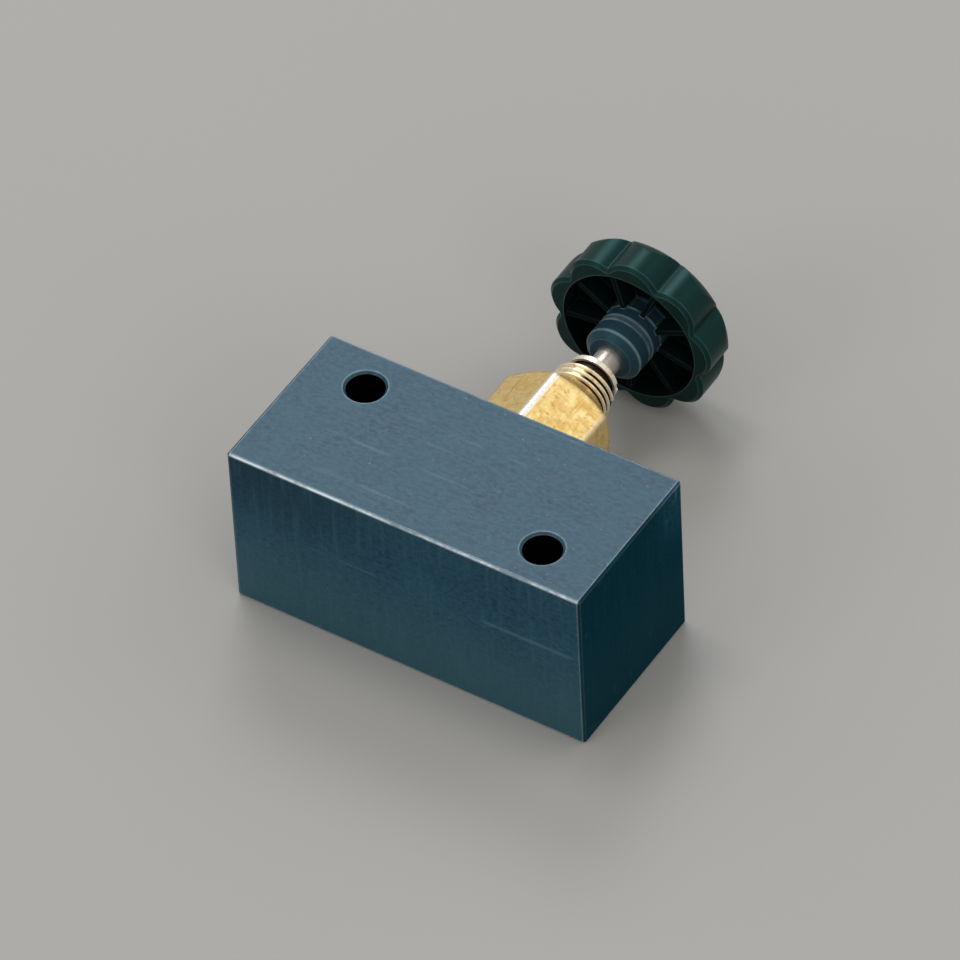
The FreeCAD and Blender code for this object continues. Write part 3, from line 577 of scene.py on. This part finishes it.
def bright_metal(name, colour, roughness):
    """Plain turned steel or copper."""
    material, tree, shader = new_material(name, Metallic=1.0)
    face = use_group(tree, "turned_face", ring_scale=3000.0, mottle_scale=300.0)
    mottled = mix_colour(tree, face["Mottle"], colour, shaded(colour, share=0.8))
    rough = raised(tree, face["Rings"], share=0.12, least=roughness)
    feed(tree, shader, Base_Color=mottled, Roughness=rough)
    bump(tree, shader, face["Rings"], strength=0.2, distance=0.00002)
    return material


def moulded_black():
    """The handwheel: black phenolic moulding, green-black where it shines, scuffed on its edges with partly
    painted highlights, with painted shade in its hollow and a paler hub that is partly painted light.
    """
    tint = (0.35, 1.0, 0.92, 1.0)
    material, tree, shader = new_material("black_plastic", IOR=1.31, Specular_Tint=tint)
    wear = use_group(tree, "edge_wear", radius=0.0005, break_up=0.35, patch_scale=350.0)
    grain = stretched_noise(tree, 900.0, detail=5.0, roughness=0.65)
    haze = stretched_noise(tree, 120.0, detail=3.0, seed=4.0)
    # The hub, and the hollow round it, which is painted black with shade
    hub = near_axis(tree, HUB_RADIUS)
    cup = near_axis(tree, RECESS_RADIUS)
    depth = place_along(tree, "Y")
    behind = fade(tree, depth, WHEEL_MIDDLE, WHEEL_MIDDLE + HOLLOW_FADE)
    hollow = times(tree, minus(tree, cup, hub), behind)
    boss = times(tree, hub, behind)
    # Pale lines round the hub, partly wear and partly painted highlight, broken up by the haze; the hub's own
    # colour is painted paler and bluer than the wheel, partly as painted light
    lines = 0.0
    for place in HUB_LINES:
        away = absolute(tree, minus(tree, depth, place))
        lines = larger(tree, fade(tree, away, *HUB_LINE_WIDTH), lines)
    broken = times(tree, lines, ramp(tree, haze, low=0.30, high=0.60, low_value=0.25, high_value=0.85))
    hub_colour = mix_colour(tree, broken, PLASTIC["hub"], PLASTIC["hub_wear_highlights"])
    # Scuffs, partly painted highlights on the edges: strong on the hub, weak in the hollow
    allowed = minus(tree, raised(tree, boss, share=0.35, least=0.60), times(tree, hollow, HOLLOW_SPARED))
    scuffs_and_highlights = times(tree, wear["Worn"], allowed)
    painted = paint(tree, mix_colour(tree, haze, PLASTIC["dark"], PLASTIC["haze"]), [
        # The hub, painted paler than the wheel, partly as painted light
        (boss, 1.0, hub_colour),
        # Painted shade in the hollow
        (hollow, 1.0, PLASTIC["hollow"]),
        # Scuffs, partly painted highlights on the edges
        (scuffs_and_highlights, 1.0, PLASTIC["scuffed_and_highlit"]),
    ])
    smooth = raised(tree, haze, share=0.16, least=0.28)
    rough = plus(tree, smooth, times(tree, hollow, HOLLOW_ROUGHNESS), clamp=True)
    feed(tree, shader, Base_Color=painted, Roughness=rough)
    bump(tree, shader, grain, strength=0.12, distance=0.00004)
    return material


def soft_part(name, colour, roughness):
    """Rubber or packing: plain, matt, slightly uneven."""
    material, tree, shader = new_material(name)
    cloud = stretched_noise(tree, 500.0, detail=3.0)
    clouded = mix_colour(tree, cloud, colour, shaded(colour, share=0.7))
    rough = raised(tree, cloud, share=0.1, least=roughness)
    feed(tree, shader, Base_Color=clouded, Roughness=rough)
    bump(tree, shader, cloud, strength=0.15, distance=0.00003)
    return material


def make_materials():
    """Every finish by name: the record's material slots, and two paler copies of the brass, painted lighter
    to stand in for the light on the neck's thread and the gland screw.
    """
    return {
        "blued_steel": blued_steel(),
        "brass": brass("brass", light=(0.97, 0.76, 0.35), deep=(0.89, 0.58, 0.18), root_radius=NECK_ROOT,
                       rounding=0.0013),
        # The neck's thread and the gland screw: paler, less metallic copies of the brass, painted lighter to
        # stand in for the light on them
        "brass_thread": brass("brass_thread", light=(1.0, 0.92, 0.72), deep=(1.0, 0.84, 0.54),
                              root_radius=NECK_ROOT, dull=0.34, metal=0.65),
        "brass_gland_lit": brass("brass_gland_lit", light=(1.0, 0.93, 0.78), deep=(1.0, 0.88, 0.66),
                             root_radius=GLAND_ROOT, dull=0.32, metal=0.75, shade_from=-0.02),
        "stem_steel": bright_metal("stem_steel", colour=(1.0, 0.87, 0.74), roughness=0.32),
        "bright_steel": bright_metal("bright_steel", colour=(0.62, 0.63, 0.64), roughness=0.25),
        "copper": bright_metal("copper", colour=(0.80, 0.42, 0.28), roughness=0.30),
        "seal_rubber": soft_part("seal_rubber", colour=(0.020, 0.020, 0.020), roughness=0.6),
        "packing_white": soft_part("packing_white", colour=(0.75, 0.74, 0.70), roughness=0.45),
        "black_plastic": moulded_black(),
    }


def dress_nodes(materials):
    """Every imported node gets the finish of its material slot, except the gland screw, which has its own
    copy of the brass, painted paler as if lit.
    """
    slots = {entry["node"]: entry["material_slot"] for entry in frame["record"]["subparts"]}
    slots["gland_screw"] = "brass_gland_lit"
    for node, piece in frame["nodes"].items():
        for place in piece.material_slots:
            place.material = materials[slots[node]]


def thread(place, direction, radius, rise, pitch, turns, inside=False):
    """A helical ridge round an axis: one ridge's section, screwed up its wall."""
    clear_selection()
    # The plane only lends its object: its mesh gives way to the section
    bpy.ops.mesh.primitive_plane_add(size=1.0, location=(0, 0, 0))
    ridge = bpy.context.active_object
    out = -1 if inside else 1
    sunk = radius - out * rise * SUNK_SHARE
    crest = radius + out * rise
    half_root = pitch * HALF_ROOT
    half_crest = pitch * HALF_CREST
    corners = [(sunk, -half_root), (crest, -half_crest), (crest, half_crest), (sunk, half_root)]
    section = bmesh.new()
    points = [section.verts.new((across, 0.0, along)) for across, along in corners]
    for first, second in zip(points, points[1:] + points[:1]):
        section.edges.new((first, second))
    section.to_mesh(ridge.data)
    section.free()
    screw = ridge.modifiers.new("screw", "SCREW")
    screw.axis = "Z"
    screw.angle = math.tau
    screw.screw_offset = pitch
    screw.iterations = turns
    screw.steps = STEPS_PER_TURN
    screw.render_steps = STEPS_PER_TURN
    screw.use_smooth_shade = False
    bpy.ops.object.modifier_apply(modifier=screw.name)
    bpy.ops.object.mode_set(mode="EDIT")
    bpy.ops.mesh.select_all(action="SELECT")
    bpy.ops.mesh.fill_holes(sides=len(corners))
    bpy.ops.mesh.select_all(action="SELECT")
    bpy.ops.mesh.normals_make_consistent(inside=False)
    bpy.ops.object.mode_set(mode="OBJECT")
    ridge.rotation_euler = Vector((0, 0, 1)).rotation_difference(Vector(direction)).to_euler()
    ridge.location = place
    bpy.ops.object.transform_apply(location=True, rotation=True, scale=True)
    bpy.ops.object.shade_smooth_by_angle(angle=math.radians(SMOOTH_ANGLE))
    return ridge


def threads(materials):
    """The ridges on the bonnet's neck and in both ports."""
    neck = thread((0, NECK_START, AXIS), (0, 1, 0), NECK_RADIUS, NECK_RISE, NECK_PITCH, NECK_TURNS)
    finish_piece(neck, "neck_thread", materials["brass_thread"], "valve_body")
    for name, mount in PORTS.items():
        radius = mount["dims"]["r_mm"] / MM_PER_METRE
        length = mount["dims"]["length_mm"] / MM_PER_METRE
        x, y, z = mount["pos_m"]
        low = z - length / 2 + PORT_PITCH * PORT_LEAD
        turns = int(length / PORT_PITCH) - PORT_SPARE
        ridge = thread((x, y, low), (0, 0, 1), radius, PORT_RISE, PORT_PITCH, turns, inside=True)
        finish_piece(ridge, name + "_thread", materials["blued_steel"], "valve_body")


def camera():
    """The photograph's camera."""
    data = bpy.data.cameras.new("camera")
    data.lens = CAMERA_LENS
    data.sensor_width = SENSOR_WIDTH
    data.clip_start = CLIP_START
    data.clip_end = CLIP_END
    eye = bpy.data.objects.new("camera", data)
    eye.location = CAMERA_PLACE
    eye.rotation_euler = Euler([math.radians(angle) for angle in CAMERA_TURN], "XYZ")
    bpy.context.collection.objects.link(eye)
    bpy.context.scene.camera = eye


def soft_light(name, place, size, power, colour):
    """A square soft light that faces the valve."""
    data = bpy.data.lights.new(name, "AREA")
    data.shape = "SQUARE"
    data.size = size
    data.energy = power
    data.color = colour
    lamp = bpy.data.objects.new(name, data)
    lamp.location = place
    aim = Vector(LIGHT_AIM) - Vector(place)
    lamp.rotation_euler = aim.to_track_quat("-Z", "Y").to_euler()
    bpy.context.collection.objects.link(lamp)


def studio():
    """A plain pale floor under soft light."""
    clear_selection()
    bpy.ops.mesh.primitive_plane_add(size=FLOOR_SIZE, location=(0, 0, BLOCK_LOW[2]))
    floor = bpy.context.active_object
    floor.name = "floor"
    material, tree, shader = new_material("floor", Roughness=0.95, Specular_IOR_Level=0.1)
    cloud = stretched_noise(tree, 4.0, detail=3.0)
    feed(tree, shader, Base_Color=mix_colour(tree, cloud, FLOOR["dark"], FLOOR["light"]))
    floor.data.materials.append(material)
    for light in LIGHTS:
        soft_light(*light)
    world = bpy.data.worlds.new("studio")
    world.use_nodes = True
    background = world.node_tree.nodes["Background"]
    background.inputs["Color"].default_value = WORLD_COLOUR
    background.inputs["Strength"].default_value = WORLD_STRENGTH
    bpy.context.scene.world = world
    bpy.context.scene.view_settings.view_transform = "Standard"


def main():
    """Dresses the CAD nodes, adds the threads, and sets up the studio and the camera."""
    clear_selection()
    GROUPS["edge_wear"] = edge_wear_group()
    GROUPS["machined_face"] = machined_group()
    GROUPS["turned_face"] = turned_group()
    GROUPS["near_line"] = near_line_group()
    materials = make_materials()
    dress_nodes(materials)
    threads(materials)
    studio()
    camera()


main()
